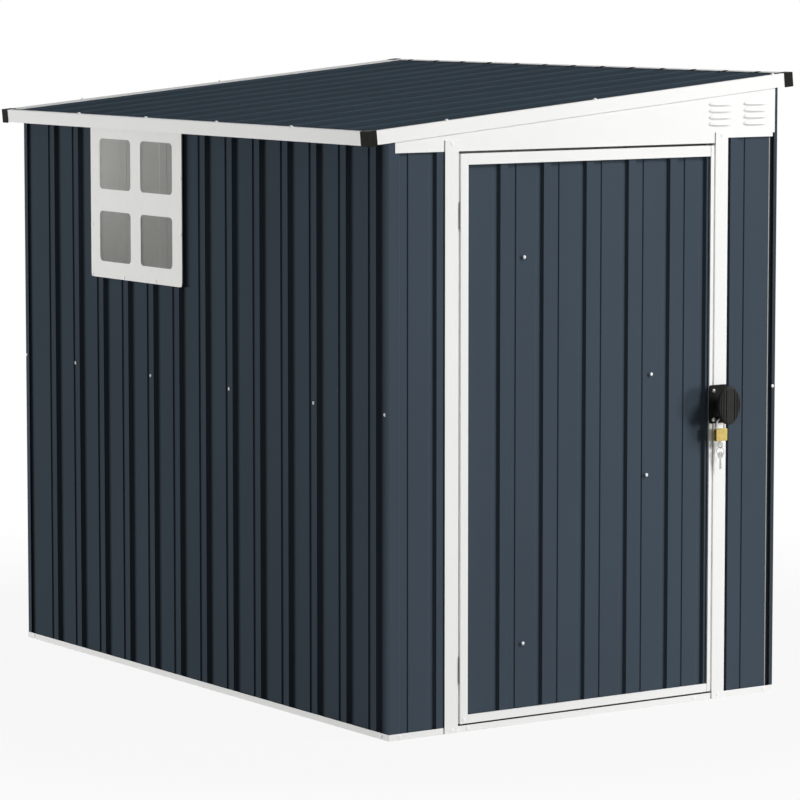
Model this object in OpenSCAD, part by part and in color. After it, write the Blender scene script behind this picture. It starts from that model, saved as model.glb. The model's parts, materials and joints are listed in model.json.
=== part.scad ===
/* [Building] */
// Outside width of the walls, across the door wall
base_w = 1320; // [1200:10:1500]
// Outside depth of the walls, from the door wall to the back wall
base_d = 1980; // [1900:10:2100]
// Height of the roof trim's top edge on the low side
low_top_z = 1625; // [1620:1:1640]
// Slope of the roof, in degrees
roof_slope = 5.35; // [5:0.05:6]
// How far the roof reaches past the wall on the low side
low_overhang = 72; // [60:1:80]
// How far the roof reaches past the wall on the high side
high_overhang = 48; // [40:1:70]
// How far the roof trim reaches past the front and back walls
end_overhang = 5; // [4:1:12]

/* [Sheet metal] */
// Thickness of the ribbed wall and roof sheets
sheet_t = 0.6; // [0.4:0.1:1]
// Thickness of the folded trims, rails and posts
trim_t = 1; // [0.8:0.1:1.2]
// Distance from one rib to the next on the walls and the door
rib_pitch = 144.4; // [140:0.1:150]
// Width of a rib's raised face
rib_crest = 24; // [20:1:30]
// Depth of the narrow pans beside a rib, behind its raised face
rib_h = 8; // [6:0.5:9]
// How far the wide flat between two ribs stands proud of the narrow pans
flat_rise = 2.5; // [1:0.5:4]
// Distance from one rib to the next on the roof
roof_pitch = 145.3; // [144:0.1:146]

/* [Base and trims] */
// Height of the base rail's outer lip
rail_h = 17; // [14:1:20]
// Width of the base rail's flange on the ground
rail_flange = 41; // [36:1:50]
// Thickness of the base rail's flange
flange_t = 1.5; // [1.2:0.1:2]
// Radius of the anchor holes in the side rails
anchor_r = 4.5; // [3:0.5:6]
// Height of the roof trim's outer face, square to the roof
trim_h = 37.5; // [36:0.5:40]
// Width of the lip that the front and low roof trims have on top of the sheets
trim_lip = 14; // [12:1:30]
// Width of the high eave trim's lip
high_lip = 24; // [20:1:30]
// Width of the back gable trim's lip
back_lip = 62; // [40:1:66]
// Length of a black corner cap along the long wall
cap_leg = 34; // [30:1:40]
// Length of a black corner cap along the door wall
cap_leg_end = 31; // [28:1:40]
// Height of a black corner cap
cap_h = 40; // [38:1:44]
// Height of the screws that hold the wall sheets to the middle rails
mid_rail_z = 874.5; // [850:0.5:900]

/* [Door] */
// Distance from the low corner to the hinge jamb's door side
opening_x0 = 222.5; // [220:0.5:226]
// Clear width between the two jambs
opening_w = 874; // [870:1:876]
// Width of a jamb's face
jamb_w = 44; // [40:1:46]
// Height of the top of the jambs
jamb_top_z = 1597; // [1590:1:1600]
// Height of the door's lower edge
door_z0 = 22; // [22:1:26]
// Height of the door's upper edge
door_z1 = 1560.5; // [1550:0.5:1561]
// Gap beside the door on the hinge side
hinge_gap = 7; // [6:0.5:8]
// Gap beside the door on the latch side
latch_gap = 5.5; // [5:0.5:6]
// Width of the face of the hinge stile and the top and bottom rails
stile_w = 25; // [24:1:28]
// Width of the face of the latch stile
latch_stile_w = 11; // [10:0.5:14]
// Depth of the door frame
door_depth = 22; // [21:1:24]
// Width of the door frame's flange behind the panel
door_flange = 12; // [10:1:14]
// Width of a diagonal brace
brace_w = 28; // [20:1:36]

/* [Window] */
// Distance from the front wall to the middle of the window
window_y = 1308.6; // [1300:0.1:1320]
// Outside width of the window frame
window_w = 519.6; // [516:0.1:530]
// Height of the window frame's lower edge
window_z0 = 1143; // [1140:1:1150]
// Outside height of the window frame
window_h = 459; // [455:1:460]
// How far the window frame stands out from the wall
window_proud = 3; // [2.5:0.5:12]
// Width of one pane opening
lite_w = 177.4; // [170:0.1:180]
// Height of one pane opening
lite_h = 148; // [140:1:150]
// Width of the frame's upright middle bar
bar_w = 57.6; // [50:0.1:60]
// Height of the frame's level middle bar
bar_h = 65.2; // [60:0.1:70]

/* [Latch and padlock] */
// Height of the middle of the latch
latch_z = 837; // [820:1:850]
// Width of the oval knob
knob_w = 80; // [70:1:82]
// Height of the oval knob
knob_h = 110; // [100:1:116]
// How far the knob's front stands out from the wall
knob_out = 62; // [58:1:66]
// Thickness of the knob's head
knob_t = 16; // [12:1:24]
// Width of the padlock body
padlock_w = 39; // [36:1:42]
// Height of the padlock body
padlock_h = 34; // [32:1:36]
// Thickness of the padlock body
padlock_t = 14; // [12:1:16]

/* [Hidden] */
$fn = 32;

// The walls' outermost planes: the low side is at -X and the door wall at -Y.
low_x = -base_w / 2;
high_x = base_w / 2;
front_y = -base_d / 2;
back_y = base_d / 2;
function from_low(x) = low_x + x;
function from_front(y) = front_y + y;

// Sheet profile, measured inwards from the raised faces.
side_w = 6;
step_w = 2.5;
pan_left = 19.7;
pan_right = 29.5;
sheet_in = rib_h + sheet_t;
rib_end_gap = 0.2;

// Roof frame: u runs up the slope, v along Y and n square to the slope, from the low trim's top edge.
// The roof has the walls' sheet the other way up, so its ribs are channels.
roof_low_x = low_x - low_overhang;
roof_len = (base_w + low_overhang + high_overhang) / cos(roof_slope);
roof_y = base_d / 2 + end_overhang;
roof_under = trim_t + rib_h + sheet_t;
function under_roof_z(x) =
    low_top_z + (x - roof_low_x) * tan(roof_slope) - roof_under / cos(roof_slope);

// Walls stand on the base rails' flanges.
sheet_z0 = flange_t;
low_wall_top = 1618;
high_wall_top = under_roof_z(high_x) - 3;
front_left_top = 1620;
front_right_top = 1600;
front_right_end = 1297.5;
lap_left = 12;
lap_back = 18;
lap_right = 11;

// Gable panels and their louvres.
gable_x0 = 20;
gable_x1 = 1310;
gable_z = 1567;
gable_step_x = 1130;
gable_step_z = 1581;
notch_w = 7;
notch_h = 11;
louvre_w = 66;
louvre_h = 6;
louvre_x = [1114.5, 1238];
louvre_z = [1617, 1635.5, 1654, 1672.5];
louvre_out = 1.8;

// Posts, rails and beams.
post_leg = 30;
post_low_top = 1570;
post_high_top = 1640;
mid_rail_h = 30;
mid_rail_leg = 12;
top_rail_w = 26;
top_rail_leg = 34;
header_z = 1567;
header_h = 40;
beam_w = 40;
beam_h = 28;
anchor_y = 900;
anchor_x = high_x - 25;

// Door, in the closed place.
face_y = front_y - 3.5;
door_x0 = from_low(opening_x0 + hinge_gap);
door_x1 = from_low(opening_x0 + opening_w - latch_gap);
door_back_y = face_y + door_depth;
panel_y = front_y + 2;
stop_y = door_back_y + 5;
stop_w = 13;
hinge_x = from_low(opening_x0 + hinge_gap / 2);
hinge_y = face_y - 1;
hinge_z = [170, 1395];
hinge_h = 71;
knuckle_r = 3;
pin_r = 1.6;
pin_gap = 0.06;
knuckle_gap = 0.5;
leaf_t = 1.5;
leaf_deep = 18;
brace_t = 1.5;

// Window.
window_r = 15;
lite_r = 14;
sleeve_w = window_w - 30;
sleeve_h = window_h - 30;
sleeve_t = 12;
pane_w = sleeve_w - 24;
pane_h = sleeve_h - 24;
pane_t = 3;
lite_depth = 1.5;
cut_margin = 13;

// Latch and padlock.
latch_x = from_low(1109);
plate_x0 = from_low(1074);
plate_w = 66;
plate_h = 108;
plate_t = 2.5;
plate_back_y = face_y - 5;
plate_front_y = plate_back_y - plate_t;
plate_r = 8;
knob_back_y = front_y - knob_out + knob_t;
neck_r = 14;
lug_t = 3;
lug_y = plate_front_y - 8;
lug_z = latch_z - 42;
lug_r = 7;
shackle_r = 2.6;
shackle_span = 26;
shackle_hole_r = 3.4;
lug_drop = 4;
padlock_top_z = lug_z - 27;

wall_blue = [0.22, 0.26, 0.31];
trim_white = [0.95, 0.95, 0.94];

// ---- Ribbed sheets -------------------------------------------------------------------------------

// The outline of one rib as [place along the sheet, depth], from the flat on its left to the flat on
// its right. r is the rib face's left edge and w its width. levels holds the depths of the rib face,
// the flats and the pans.
wall_levels = [0, rib_h - flat_rise, rib_h];
// The roof's flats lie only a little below its pans.
roof_rise = 1;
roof_levels = [rib_h, roof_rise, 0];
function rib_line(r, w, levels) = [
    [r - pan_left - step_w, levels[1]], [r - pan_left, levels[2]], [r - side_w, levels[2]],
    [r, levels[0]], [r + w, levels[0]],
    [r + w + side_w, levels[2]], [r + w + pan_right, levels[2]],
    [r + w + pan_right + step_w, levels[1]]
];

// The outer face of a sheet from s0 to s1. ribs holds [left edge, width] of each rib face.
function sheet_line(s0, s1, ribs, levels) =
    let (line = [for (r = ribs) each rib_line(r[0], r[1], levels)])
    concat(
        [[s0, lookup(s0, line)]],
        [for (p = line) if (p[0] > s0 + rib_end_gap && p[0] < s1 - rib_end_gap) p],
        [[s1, lookup(s1, line)]]
    );

// A sheet standing on the XY plane: s along X and depth along Y.
module ribbed_sheet(s0, s1, ribs, height, levels = wall_levels, head = [], tail = []) {
    line = concat(head, sheet_line(s0, s1, ribs, levels), tail);
    count = len(line);
    linear_extrude(height)
        polygon(concat(line, [for (i = [count - 1:-1:0]) line[i] + inner_shift(line, i)]));
}

// How far a point of the inner face lies from the outer one. A folded end goes back along the side.
function inner_shift(line, i) =
    let (last = len(line) - 1)
    i == 0 && line[1][0] == line[0][0] ? [sheet_t, 0]
    : i == last && line[last][0] == line[last - 1][0] ? [-sheet_t, 0]
    : i == 1 && line[1][0] == line[0][0] ? [sheet_t, sheet_t]
    : i == last - 1 && line[last][0] == line[last - 1][0] ? [-sheet_t, sheet_t]
    : [0, sheet_t];

function even_ribs(first, count, pitch = rib_pitch, w = rib_crest) =
    [for (i = [0:count - 1]) [first + i * pitch, w]];

// Places a sheet on a wall: each wall is drawn as seen from outside, from its left end.
module on_front() {
    translate([low_x, front_y, sheet_z0]) children();
}
module on_back() {
    translate([high_x, back_y, sheet_z0]) rotate([0, 0, 180]) children();
}
module on_left() {
    translate([low_x, back_y, sheet_z0]) rotate([0, 0, -90]) children();
}
module on_right() {
    translate([high_x, front_y, sheet_z0]) rotate([0, 0, 90]) children();
}

// ---- Base ----------------------------------------------------------------------------------------

module base_rail_end(y_mirror) {
    mirror([0, y_mirror, 0]) {
        translate([low_x - trim_t, front_y - trim_t, 0]) {
            cube([base_w + 2 * trim_t, rail_flange, flange_t]);
            cube([base_w + 2 * trim_t, trim_t, rail_h]);
            cube([trim_t, rail_flange, rail_h]);
        }
        translate([high_x, front_y - trim_t, 0]) cube([trim_t, rail_flange, rail_h]);
    }
}

module base_rail_front() {
    color(trim_white) base_rail_end(0);
}

module base_rail_back() {
    color(trim_white) base_rail_end(1);
}

module base_rail_side(x_mirror) {
    length = base_d + 2 * trim_t - 2 * rail_flange;
    mirror([x_mirror, 0, 0])
        translate([high_x + trim_t - rail_flange, -length / 2, 0])
            difference() {
                union() {
                    cube([rail_flange, length, flange_t]);
                    translate([rail_flange - trim_t, 0, 0]) cube([trim_t, length, rail_h]);
                }
                for (y = [-anchor_y, anchor_y])
                    translate([anchor_x - high_x - trim_t + rail_flange, y + length / 2, -1])
                        cylinder(r = anchor_r, h = flange_t + 2);
            }
}

module base_rail_left() {
    color(trim_white) base_rail_side(1);
}

module base_rail_right() {
    color(trim_white) base_rail_side(0);
}

// ---- Frame behind the sheets ---------------------------------------------------------------------

inner_x = high_x - sheet_in;
inner_y = base_d / 2 - sheet_in;

module corner_post(x_side, y_side, top) {
    scale_x = x_side > 0 ? 0 : 1;
    scale_y = y_side > 0 ? 0 : 1;
    mirror([scale_x, 0, 0]) mirror([0, scale_y, 0])
        translate([inner_x, inner_y, flange_t]) rotate([0, 0, 180]) {
            cube([post_leg, trim_t, top - flange_t]);
            cube([trim_t, post_leg, top - flange_t]);
        }
}

module corner_posts() {
    color(wall_blue) {
        corner_post(-1, -1, post_low_top);
        corner_post(-1, 1, post_low_top);
        corner_post(1, -1, post_high_top);
        corner_post(1, 1, post_high_top);
    }
}

module mid_rail(length) {
    translate([0, -length / 2, mid_rail_z - mid_rail_h / 2]) {
        cube([trim_t, length, mid_rail_h]);
        cube([mid_rail_leg, length, trim_t]);
    }
}

module mid_rails() {
    color(wall_blue) {
        side_len = 2 * (inner_y - post_leg);
        translate([-inner_x, 0, 0]) mid_rail(side_len);
        mirror([1, 0, 0]) translate([-inner_x, 0, 0]) mid_rail(side_len);
        translate([0, inner_y, 0]) rotate([0, 0, -90]) mid_rail(2 * (inner_x - post_leg));
    }
}

// A side rail under the roof: its top flange follows the slope and its long leg lies on the wall.
module top_rail_side(x_wall, x_room) {
    dir = x_room > x_wall ? 1 : -1;
    rotate([90, 0, 0]) linear_extrude(2 * inner_y, center = true) polygon([
        [x_wall, under_roof_z(x_wall)], [x_room, under_roof_z(x_room)],
        [x_room, under_roof_z(x_room) - top_rail_leg / 2],
        [x_room - dir * trim_t, under_roof_z(x_room) - top_rail_leg / 2],
        [x_room - dir * trim_t, under_roof_z(x_room - dir * trim_t) - trim_t],
        [x_wall + dir * trim_t, under_roof_z(x_wall + dir * trim_t) - trim_t],
        [x_wall + dir * trim_t, under_roof_z(x_wall) - top_rail_leg],
        [x_wall, under_roof_z(x_wall) - top_rail_leg]
    ]);
}

module top_rail_left() {
    color(wall_blue) top_rail_side(-inner_x, -inner_x + top_rail_w);
}

module top_rail_right() {
    color(wall_blue) top_rail_side(inner_x, inner_x - top_rail_w);
}

// The rail over the door, and the same at the back.
module header(y_mirror) {
    length = 2 * (inner_x - post_leg);
    mirror([0, y_mirror, 0]) translate([-length / 2, -inner_y, header_z]) {
        cube([length, trim_t, header_h]);
        cube([length, top_rail_w, trim_t]);
    }
}

module top_rail_front() {
    color(wall_blue) header(0);
}

module top_rail_back() {
    color(wall_blue) header(1);
}

// ---- Walls ---------------------------------------------------------------------------------------

// The corner rib of the door wall is folded round onto the long wall.
module front_wall_left() {
    color(wall_blue) on_front()
        ribbed_sheet(0, opening_x0 - 2 * trim_t, concat([[0, 33.7]], even_ribs(153.6, 1)),
            front_left_top - sheet_z0, head = [[0, lap_left]]);
}

module front_wall_right() {
    color(wall_blue) on_front()
        ribbed_sheet(opening_x0 + opening_w + 2 * trim_t, front_right_end, even_ribs(1152.5, 1),
            front_right_top - sheet_z0);
}

// Ribs of the long low wall, from its back corner.
left_ribs = even_ribs(162, 13);
right_ribs = even_ribs(90, 13);
window_s0 = base_d - window_y - window_w / 2 + cut_margin;
window_s1 = base_d - window_y + window_w / 2 - cut_margin;

module left_wall_back() {
    color(wall_blue) on_left()
        ribbed_sheet(1, window_s0, left_ribs, low_wall_top - sheet_z0);
}

module left_wall_under_window() {
    color(wall_blue) on_left()
        ribbed_sheet(window_s0, window_s1, left_ribs, window_z0 + cut_margin - sheet_z0);
}

module left_wall_front() {
    color(wall_blue) on_left()
        ribbed_sheet(window_s1, base_d - 1, left_ribs, low_wall_top - sheet_z0);
}

// The high wall is folded round onto the door wall and the back wall.
module right_wall() {
    color(wall_blue) on_right()
        ribbed_sheet(0, base_d, concat([[-1, 25]], right_ribs, [[base_d - 24, 25]]),
            high_wall_top - sheet_z0, head = [[0, lap_right]], tail = [[base_d, lap_right]]);
}

module back_wall() {
    color(wall_blue) on_back()
        ribbed_sheet(1, base_w, concat(even_ribs(70, 8), [[base_w - 34, 34]]),
            front_right_top - sheet_z0, tail = [[base_w, lap_back]]);
}

// ---- Gables --------------------------------------------------------------------------------------

// A pressed louvre: a slot with a hood that slopes out over it.
module louvre_hood(x, z) {
    translate([x - louvre_w / 2, -trim_t, z]) rotate([90, 0, 90]) linear_extrude(louvre_w)
        polygon([[0, louvre_h], [0, louvre_h + 4], [-louvre_out, 1], [-louvre_out, 0]]);
}

module gable_panel() {
    translate([low_x, 0, 0]) {
        difference() {
            rotate([90, 0, 0]) linear_extrude(trim_t) polygon([
                [gable_x0, gable_z], [gable_step_x, gable_z], [gable_step_x, gable_step_z],
                [gable_x1 - notch_w, gable_step_z], [gable_x1 - notch_w, gable_step_z + notch_h],
                [gable_x1, gable_step_z + notch_h],
                [gable_x1, under_roof_z(from_low(gable_x1))], [gable_x0, under_roof_z(from_low(gable_x0))]
            ]);
            for (x = louvre_x)
                for (z = louvre_z)
                    translate([x - louvre_w / 2 + 1, -2, z]) cube([louvre_w - 2, 4, louvre_h]);
        }
        for (x = louvre_x)
            for (z = louvre_z) louvre_hood(x, z);
    }
}

module gable_front() {
    color(trim_white) translate([0, front_y, 0]) gable_panel();
}

module gable_back() {
    color(trim_white) mirror([0, 1, 0]) translate([0, front_y, 0]) gable_panel();
}

// ---- Roof ----------------------------------------------------------------------------------------

// Children are drawn with u along X, v along Y and n along Z.
module on_roof() {
    translate([roof_low_x, 0, low_top_z]) rotate([0, -roof_slope, 0]) children();
}

roof_rib_first = from_front(134.7) - rib_crest / 2;
roof_ribs = even_ribs(roof_rib_first, 13, roof_pitch);
roof_split = [-roof_y + 1.5, roof_rib_first + 4 * roof_pitch - 50,
    roof_rib_first + 9 * roof_pitch - 50, roof_y - 1.5];

// The ribs run down the slope, so the sheet's outline is drawn in v and n and pushed along u.
module roof_sheet(part) {
    color(wall_blue) on_roof()
        translate([1.2, 0, -trim_t]) rotate([90, 0, 90]) mirror([0, 1, 0])
            ribbed_sheet(roof_split[part], roof_split[part + 1], roof_ribs, roof_len - 2.4,
                roof_levels);
}

module roof_sheet_front() {
    roof_sheet(0);
}

module roof_sheet_middle() {
    roof_sheet(1);
}

module roof_sheet_back() {
    roof_sheet(2);
}

module roof_beams() {
    color(wall_blue) on_roof()
        for (u = [roof_len / 3, 2 * roof_len / 3])
            translate([u, 0, -roof_under]) rotate([90, 0, 0])
                linear_extrude(base_d, center = true) polygon([
                    [0, 0], [beam_w, 0], [beam_w, -beam_h], [beam_w - trim_t, -beam_h],
                    [beam_w - trim_t, -trim_t], [trim_t, -trim_t], [trim_t, -beam_h], [0, -beam_h]
                ]);
}

// The folded roof trim: a lip over the sheets, an outer face and a short return under the edge. A wide
// lip's edge may be folded down onto the sheet.
module trim_outline(reach, lip = trim_lip, fold = 0) {
    polygon([
        [0, 0], [lip, 0], [lip, -trim_t - fold],
        each fold > 0 ? [[lip - trim_t, -trim_t - fold], [lip - trim_t, -trim_t]] : [],
        [trim_t, -trim_t],
        [trim_t, -trim_h + trim_t], [reach, -trim_h + trim_t], [reach, -trim_h], [0, -trim_h]
    ]);
}

trim_end = cap_leg - 4;
gable_trim_end = cap_leg_end - 4;
end_return = end_overhang - trim_t;

module eave_trim_low() {
    color(trim_white) on_roof()
        rotate([90, 0, 0]) linear_extrude(2 * (roof_y - trim_end), center = true) trim_outline(14);
}

module eave_trim_high() {
    color(trim_white) on_roof()
        translate([roof_len, 0, 0]) mirror([1, 0, 0]) rotate([90, 0, 0])
            linear_extrude(2 * (roof_y - trim_end), center = true) trim_outline(14, high_lip);
}

module gable_trim(lip, fold) {
    on_roof() translate([gable_trim_end, -roof_y, 0]) rotate([90, 0, 90])
        linear_extrude(roof_len - 2 * gable_trim_end) trim_outline(end_return, lip, fold);
}

module gable_trim_front() {
    color(trim_white) gable_trim(trim_lip, 0);
}

module gable_trim_back() {
    color(trim_white) mirror([0, 1, 0]) gable_trim(back_lip, roof_rise - 0.2);
}

// A black cap over the roof's corner: a top plate and two faces.
module corner_cap() {
    translate([-trim_t, -roof_y - trim_t, -cap_h]) {
        cube([cap_leg_end, trim_t, cap_h]);
        cube([trim_t, cap_leg, cap_h]);
        translate([0, 0, cap_h]) cube([cap_leg_end, cap_leg, trim_t]);
    }
}

module corner_caps() {
    color([0.13, 0.13, 0.13]) on_roof()
        for (y_side = [0, 1])
            mirror([0, y_side, 0]) {
                corner_cap();
                translate([roof_len, 0, 0]) mirror([1, 0, 0]) corner_cap();
            }
}

// ---- Window --------------------------------------------------------------------------------------

module rounded_rect(w, h, r) {
    square([w - 2 * r, h], center = true);
    square([w, h - 2 * r], center = true);
    for (x = [-1, 1])
        for (y = [-1, 1]) translate([x * (w / 2 - r), y * (h / 2 - r)]) circle(r);
}

// Drawn in the wall's plane: X towards the front of the shed, Y up and Z outwards.
module on_window() {
    translate([low_x, from_front(window_y), window_z0 + window_h / 2])
        rotate([90, 0, -90]) children();
}

module pane_block(z0, z1) {
    translate([-pane_w / 2, -pane_h / 2, z0]) cube([pane_w, pane_h, z1 - z0]);
}

// The face plate holds the pane just behind its front, and a sleeve behind it goes through the wall.
module window_frame() {
    color(trim_white) on_window() difference() {
        union() {
            linear_extrude(window_proud) rounded_rect(window_w, window_h, window_r);
            translate([-sleeve_w / 2, -sleeve_h / 2, -sleeve_t])
                cube([sleeve_w, sleeve_h, sleeve_t + 1]);
        }
        for (x = [-1, 1])
            for (y = [-1, 1])
                translate([x * (lite_w + bar_w) / 2, y * (lite_h + bar_h) / 2, -1])
                    linear_extrude(window_proud + 2) rounded_rect(lite_w, lite_h, lite_r);
        pane_block(-sleeve_t - 1, window_proud - lite_depth);
    }
}

module window_pane() {
    color([0.8, 0.82, 0.82, 0.6]) on_window()
        pane_block(window_proud - lite_depth - pane_t, window_proud - lite_depth);
}

// ---- Door jambs ----------------------------------------------------------------------------------

// Seen from above, with the opening on the right: a face, a short return on the wall, a deep return
// beside the door and a stop behind it.
module jamb() {
    linear_extrude(jamb_top_z) polygon([
        [-jamb_w, front_y - trim_t], [-jamb_w, face_y], [0, face_y], [0, stop_y],
        [stop_w, stop_y], [stop_w, stop_y + trim_t], [-trim_t, stop_y + trim_t],
        [-trim_t, face_y + trim_t], [-jamb_w + trim_t, face_y + trim_t],
        [-jamb_w + trim_t, front_y - trim_t]
    ]);
}

module cut_for_frame() {
    difference() {
        children();
        translate([low_x, front_y - trim_t, -1]) cube([base_w, 60, rail_h + 1]);
        translate([low_x, front_y - trim_t, gable_z]) cube([base_w, 60, 100]);
    }
}

module door_jamb_hinge() {
    color(trim_white) cut_for_frame() translate([from_low(opening_x0), 0, 0]) jamb();
}

module door_jamb_latch() {
    color(trim_white) cut_for_frame()
        translate([from_low(opening_x0 + opening_w), 0, 0]) mirror([1, 0, 0]) jamb();
}

// ---- Door ----------------------------------------------------------------------------------------

// A frame member's outline: X from its outer edge inwards and Y from its face to its back.
module door_member(width) {
    lip_y = panel_y - face_y;
    polygon([
        [0, 0], [width, 0], [width, lip_y], [width - trim_t, lip_y], [width - trim_t, trim_t],
        [trim_t, trim_t], [trim_t, door_depth - trim_t], [door_flange, door_depth - trim_t],
        [door_flange, door_depth], [0, door_depth]
    ]);
}

module door_stile_hinge() {
    color(trim_white) translate([door_x0, face_y, door_z0])
        linear_extrude(door_z1 - door_z0) door_member(stile_w);
}

module door_stile_latch() {
    color(trim_white) translate([door_x1, face_y, door_z0]) mirror([1, 0, 0])
        linear_extrude(door_z1 - door_z0) door_member(latch_stile_w);
}

module door_rail(width) {
    x0 = door_x0 + stile_w;
    translate([x0, face_y, 0]) rotate([90, 0, 90])
        linear_extrude(door_x1 - max(latch_stile_w, door_flange) - x0)
            mirror([1, -1]) door_member(width);
}

module door_rail_bottom() {
    color(trim_white) translate([0, 0, door_z0]) door_rail(stile_w - 2);
}

module door_rail_top() {
    color(trim_white) translate([0, 0, door_z1]) mirror([0, 0, 1]) door_rail(stile_w + 5);
}

door_ribs = concat(even_ribs(363.4, 5), [[1069.4, rib_crest]]);

module door_panel() {
    inset = trim_t + 0.2;
    color(wall_blue) translate([low_x, panel_y, door_z0 + inset])
        ribbed_sheet(door_x0 + inset - low_x, door_x1 - inset - low_x, door_ribs,
            door_z1 - door_z0 - 2 * inset);
}

// A flat bar from the hinge side to the latch side, given by its ends' heights.
module brace(x0, z0, x1, z1, layer) {
    rise = z1 - z0;
    length = norm([x1 - x0, rise]);
    translate([x0, panel_y + sheet_in + layer * brace_t, z0]) rotate([0, -atan2(rise, x1 - x0), 0])
        translate([0, 0, -brace_w / 2]) cube([length, brace_t, brace_w]);
}

brace_x0 = door_x0 + 22;
brace_x1 = door_x1 - 16;

module door_brace_upper() {
    color(trim_white) brace(brace_x0, 1427, brace_x1, 779, 1);
}

module door_brace_lower() {
    color(trim_white) brace(brace_x0 + 16, 43, brace_x1, 868, 0);
}

// ---- Hinges --------------------------------------------------------------------------------------

knuckle_h = hinge_h / 3;

module jamb_leaf() {
    for (z = [0, 2 * knuckle_h]) translate([0, 0, z]) cylinder(r = knuckle_r, h = knuckle_h);
    cylinder(r = pin_r, h = hinge_h);
    translate([-hinge_gap / 2, 0, 0]) cube([leaf_t, leaf_deep, hinge_h]);
}

module door_leaf() {
    difference() {
        union() {
            translate([0, 0, knuckle_h + knuckle_gap])
                cylinder(r = knuckle_r, h = knuckle_h - 2 * knuckle_gap);
            translate([1, 0.5, knuckle_h + knuckle_gap])
                cube([hinge_gap / 2 - 1, 4, knuckle_h - 2 * knuckle_gap]);
            translate([hinge_gap / 2 - leaf_t, 4, 0]) cube([leaf_t, leaf_deep - 4, hinge_h]);
        }
        translate([0, 0, -1]) cylinder(r = pin_r + pin_gap, h = hinge_h + 2);
    }
}

module hinge_jamb_leaves() {
    color("silver") for (z = hinge_z - [hinge_h, hinge_h] / 2)
        translate([hinge_x, hinge_y, z])
            difference() {
                jamb_leaf();
                translate([-10, -10, knuckle_h]) difference() {
                    cube([20, 15.5, knuckle_h]);
                    translate([10, 10, -1]) cylinder(r = pin_r, h = knuckle_h + 2);
                }
            }
}

module hinge_door_leaves() {
    color("silver") for (z = hinge_z - [hinge_h, hinge_h] / 2)
        translate([hinge_x, hinge_y, z]) door_leaf();
}

// ---- Latch, padlock and keys ---------------------------------------------------------------------

// Drawn in the door's plane: X along the wall, Y up and Z outwards.
module facing_out(x, y, z) {
    translate([x, y, z]) rotate([90, 0, 0]) children();
}

module latch_plate() {
    color([0.1, 0.1, 0.1]) {
        facing_out(plate_x0 + plate_w / 2, plate_back_y, latch_z)
            linear_extrude(plate_t) rounded_rect(plate_w, plate_h, plate_r);
        translate([plate_x0 + 3, plate_back_y, latch_z - plate_h / 2 + plate_r])
            cube([door_x1 - plate_x0 - 3.5, face_y - plate_back_y, plate_h - 2 * plate_r]);
        difference() {
            translate([latch_x - lug_t / 2, lug_y, lug_z]) rotate([0, 90, 0])
                union() {
                    cylinder(r = lug_r, h = lug_t);
                    translate([-lug_r, 0, 0]) cube([2 * lug_r, plate_front_y - lug_y, lug_t]);
                }
            translate([latch_x - lug_t, lug_y, lug_z]) rotate([0, 90, 0])
                cylinder(r = shackle_hole_r, h = 2 * lug_t);
        }
    }
}

function oval(w, h, n) = [for (i = [0:n - 1]) [w / 2 * cos(360 * i / n), h / 2 * sin(360 * i / n)]];

module latch_knob() {
    color([0.15, 0.15, 0.15]) {
        facing_out(latch_x, knob_back_y, latch_z) linear_extrude(knob_t) polygon(oval(knob_w, knob_h, 48));
        facing_out(latch_x, plate_front_y - 0.3, latch_z)
            cylinder(r = neck_r, h = plate_front_y - 0.3 - knob_back_y);
    }
}

module padlock_body() {
    color([0.8, 0.65, 0.3])
        translate([latch_x - padlock_w / 2, lug_y - padlock_t / 2, padlock_top_z - padlock_h])
            cube([padlock_w, padlock_t, padlock_h]);
}

module padlock_shackle() {
    bend_z = lug_z - shackle_span / 2 + shackle_hole_r - shackle_r;
    color("silver") translate([latch_x, lug_y, 0]) {
        translate([0, 0, bend_z]) rotate([90, 0, 0]) rotate_extrude(angle = 180)
            translate([shackle_span / 2, 0]) circle(shackle_r);
        for (x = [-1, 1])
            translate([x * shackle_span / 2, 0, padlock_top_z])
                cylinder(r = shackle_r, h = bend_z - padlock_top_z);
    }
}

key_ring_r = 12;
key_t = 2;

module key_outline() {
    circle(9);
    translate([-2, -40]) square([4, 34]);
    translate([2, -36]) square([3, 4]);
    translate([2, -28]) square([2, 5]);
}

// A key in the lock, a ring through it and a spare key that hangs from the ring.
module keys() {
    lock_z = padlock_top_z - padlock_h;
    color("silver") translate([latch_x, lug_y, lock_z]) {
        translate([0, key_t / 2, -13]) rotate([90, 0, 0]) linear_extrude(key_t) difference() {
            union() {
                circle(9);
                translate([-2.5, 4]) square([5, 9]);
            }
            translate([0, -3.5]) circle(2.5);
        }
        translate([0, 0, -18 - key_ring_r]) rotate([0, 90, 20]) rotate_extrude()
            translate([key_ring_r, 0]) circle(0.9);
        translate([0, key_t / 2, -22 - 2 * key_ring_r + 5]) rotate([90, 0, 0])
            linear_extrude(key_t) difference() {
                key_outline();
                translate([0, 4.5]) circle(2.5);
            }
    }
}

base_rail_front();
base_rail_back();
base_rail_left();
base_rail_right();
corner_posts();
mid_rails();
top_rail_left();
top_rail_right();
top_rail_front();
top_rail_back();
front_wall_left();
front_wall_right();
left_wall_front();
left_wall_under_window();
left_wall_back();
right_wall();
back_wall();
gable_front();
gable_back();
door_jamb_hinge();
door_jamb_latch();
roof_beams();
roof_sheet_front();
roof_sheet_middle();
roof_sheet_back();
eave_trim_low();
eave_trim_high();
gable_trim_front();
gable_trim_back();
corner_caps();
window_frame();
window_pane();
door_stile_hinge();
door_stile_latch();
door_rail_top();
door_rail_bottom();
door_panel();
door_brace_upper();
door_brace_lower();
hinge_jamb_leaves();
hinge_door_leaves();
latch_plate();
latch_knob();
padlock_body();
padlock_shackle();
keys();
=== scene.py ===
import json
import math

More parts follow.
